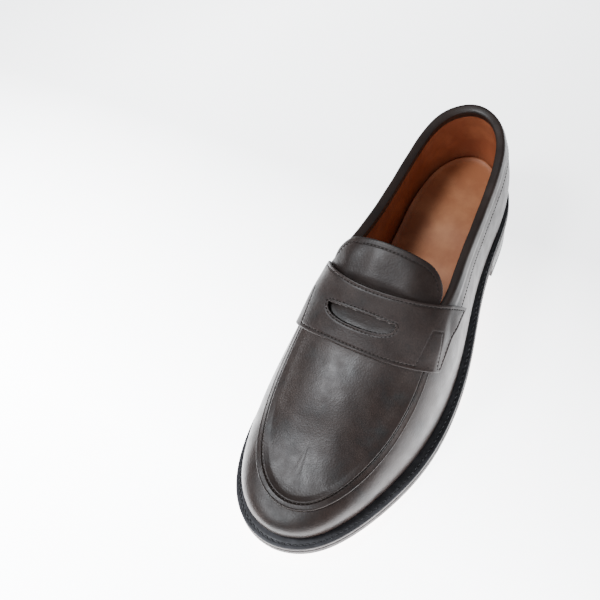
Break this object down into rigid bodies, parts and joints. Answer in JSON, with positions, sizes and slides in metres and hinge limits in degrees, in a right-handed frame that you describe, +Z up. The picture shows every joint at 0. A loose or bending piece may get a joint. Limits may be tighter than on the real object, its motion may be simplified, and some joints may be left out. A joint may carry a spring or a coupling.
{
  "type": "penny loafer",
  "caption": "Slip-on leather penny loafer for the left foot: stitched apron, slotted saddle strap, bound foot opening, welted leather sole and stacked heel.",
  "frame": {"origin": "on the ground, under the centre of the shoe's bounding box", "axes": "+Z up, -Y towards the toe, +X towards the outer side of the foot"},
  "size_m": [0.1134, 0.3053, 0.103],
  "materials": {
    "upper_leather": "very dark brown polished calf leather, fine grain",
    "binding_leather": "dark brown thin calf leather, folded edge",
    "lining_leather": "natural tan lining leather, matte",
    "sock_leather": "natural tan leather, matte",
    "stiffener": "stiffened fibre board",
    "stay_cloth": "woven cotton reinforcement",
    "insole_leather": "thick vegetable tanned leather, undyed",
    "rib_tape": "canvas covered insole rib",
    "welt_leather": "black dyed welting leather, waxed",
    "shank_steel": "tempered spring steel strip",
    "cork": "ground cork paste",
    "sole_leather": "dense sole leather with dark waxed edge",
    "cushion_foam": "soft foam pad",
    "nail_brass": "brass nails",
    "heel_leather": "stacked leather lifts, dark waxed edge",
    "heel_rubber": "black heel rubber",
    "upper_thread": "dark brown bonded thread",
    "sole_thread": "dark grey waxed thread"
  },
  "bodies": {
    "root": {"skirt": "upper_leather", "apron": "upper_leather", "saddle_strap": "upper_leather", "tongue": "upper_leather", "collar_binding": "binding_leather", "back_strip": "upper_leather", "tongue_lining": "lining_leather", "quarter_lining": "lining_leather", "vamp_lining": "lining_leather", "heel_counter": "stiffener", "toe_puff": "stiffener", "medial_stay": "stay_cloth", "lateral_stay": "stay_cloth", "insole": "insole_leather", "insole_rib": "rib_tape", "welt": "welt_leather", "heel_rand": "welt_leather", "shank": "shank_steel", "cork_filler": "cork", "outsole": "sole_leather", "heel_cushion": "cushion_foam", "sock_liner": "sock_leather", "heel_nails": "nail_brass", "heel_lift_lower": "heel_leather", "heel_lift_middle": "heel_leather", "heel_lift_upper": "heel_leather", "top_piece": "heel_rubber", "apron_stitching": "upper_thread", "strap_stitching": "upper_thread", "tongue_stitching": "upper_thread", "collar_stitching": "upper_thread", "back_strip_stitching": "upper_thread", "welt_stitching": "sole_thread", "inseam_stitching": "sole_thread"}
  },
  "joints": []
}
